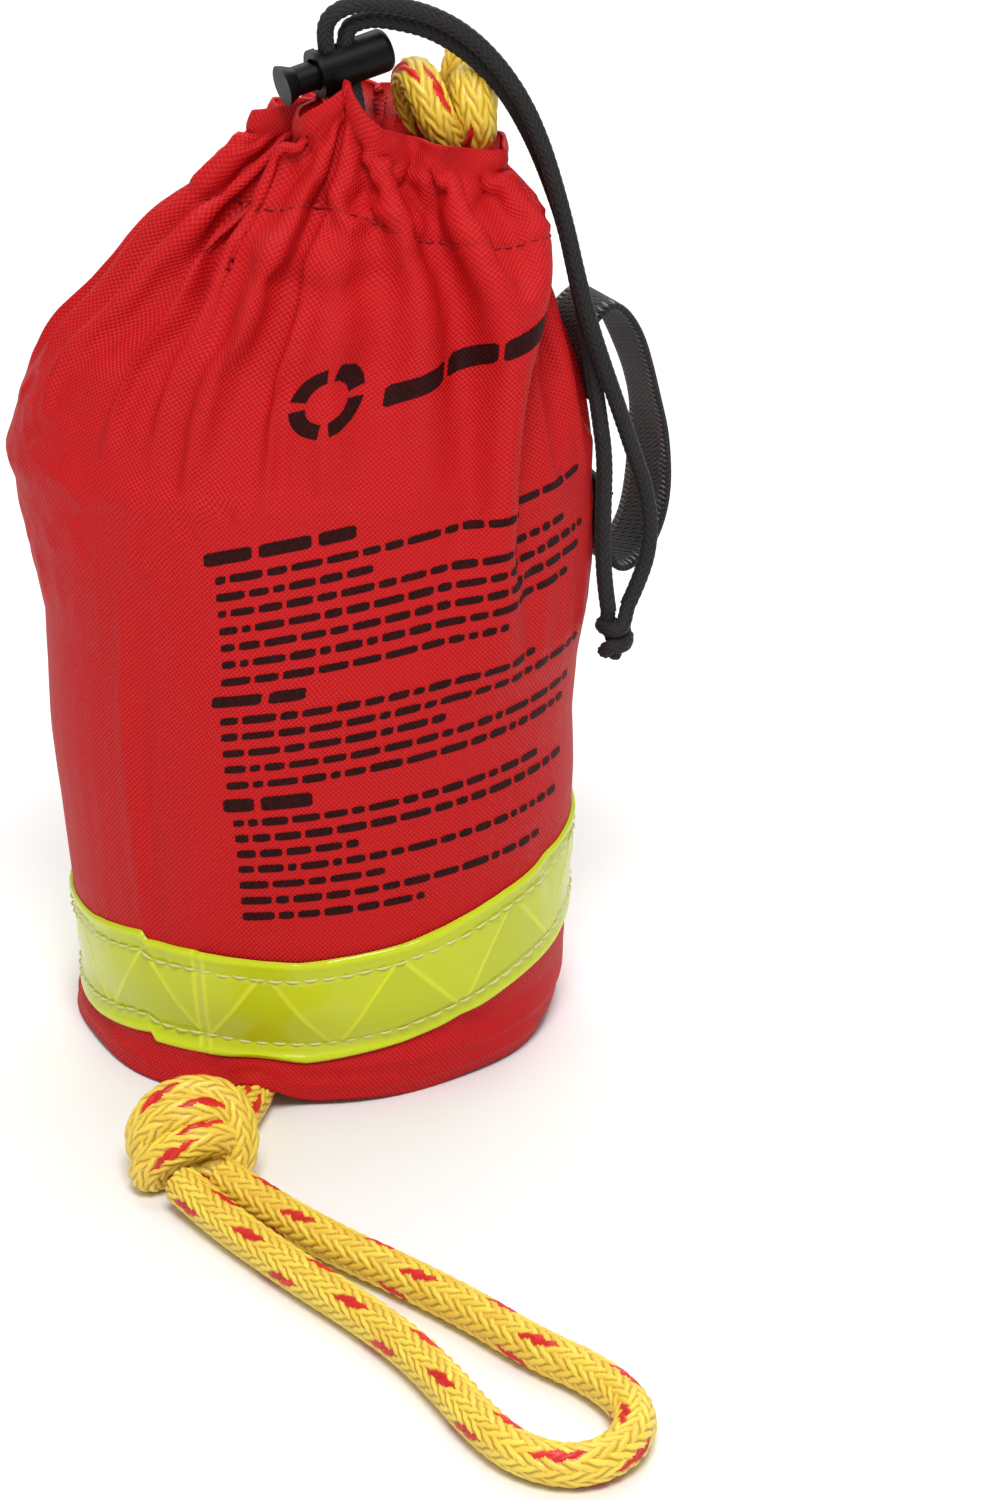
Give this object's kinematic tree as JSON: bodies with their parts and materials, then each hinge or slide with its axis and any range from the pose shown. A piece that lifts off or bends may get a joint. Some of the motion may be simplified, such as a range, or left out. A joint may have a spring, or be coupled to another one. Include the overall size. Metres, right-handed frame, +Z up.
{
  "type": "throw rope bag",
  "caption": "Soft drawstring bag of woven fabric packed with floating rope, with a cord lock, a reflective band, a webbing handle and a knotted hand loop.",
  "frame": {"origin": "centre of the bag's base, on the surface it stands on", "axes": "+Z up through the mouth, +X towards the handle side, -Y towards the printed front and the hand loop"},
  "size_m": [0.1527, 0.2768, 0.2478],
  "materials": {
    "bag_fabric": "coated woven polyester, soft satin",
    "reflective_vinyl": "glossy prismatic vinyl",
    "thread": "twisted polyester thread",
    "rope": "braided polypropylene with red tracer yarns, silky",
    "drawcord": "braided polyester, matt",
    "webbing": "herringbone webbing, matt",
    "lock_plastic": "satin moulded acetal",
    "spring_steel": "bright drawn wire",
    "eyelet": "satin rolled brass"
  },
  "bodies": {
    "bag": {"bag_body": "bag_fabric", "hem_casing": "bag_fabric", "hem_stitching": "thread", "hem_cord": "drawcord", "side_seam": "bag_fabric", "base_panel": "bag_fabric", "base_eyelet": "eyelet", "base_washer": "eyelet", "reflective_tape": "reflective_vinyl", "tape_stitching": "thread", "packed_rope": "rope", "mouth_knot": "rope", "tail_run": "rope", "loop_knot": "rope", "hand_loop": "rope", "drawcord_long": "drawcord", "drawcord_short": "drawcord", "drawcord_knot": "drawcord", "lock_barrel": "lock_plastic", "lock_spring": "spring_steel", "handle_tabs": "webbing", "handle_tacks": "thread"},
    "handle": {"handle_strap": "webbing"},
    "plunger": {"lock_plunger": "lock_plastic"}
  },
  "joints": [
    {"name": "handle_swing", "type": "hinge", "parent": "bag", "child": "handle", "pos_m": [0.0674, 0.01071, 0.14], "axis": [0, 0, 1], "range_deg": [0, 25], "stiffness_Nm_per_rad": 0.02},
    {"name": "plunger_press", "type": "slide", "parent": "bag", "child": "plunger", "axis": [0.8802, 0.4231, 0.215], "range_m": [0, 0.0025], "stiffness_N_per_m": 1200, "springref_m": -0.002, "deforming": ["lock_spring"]}
  ]
}
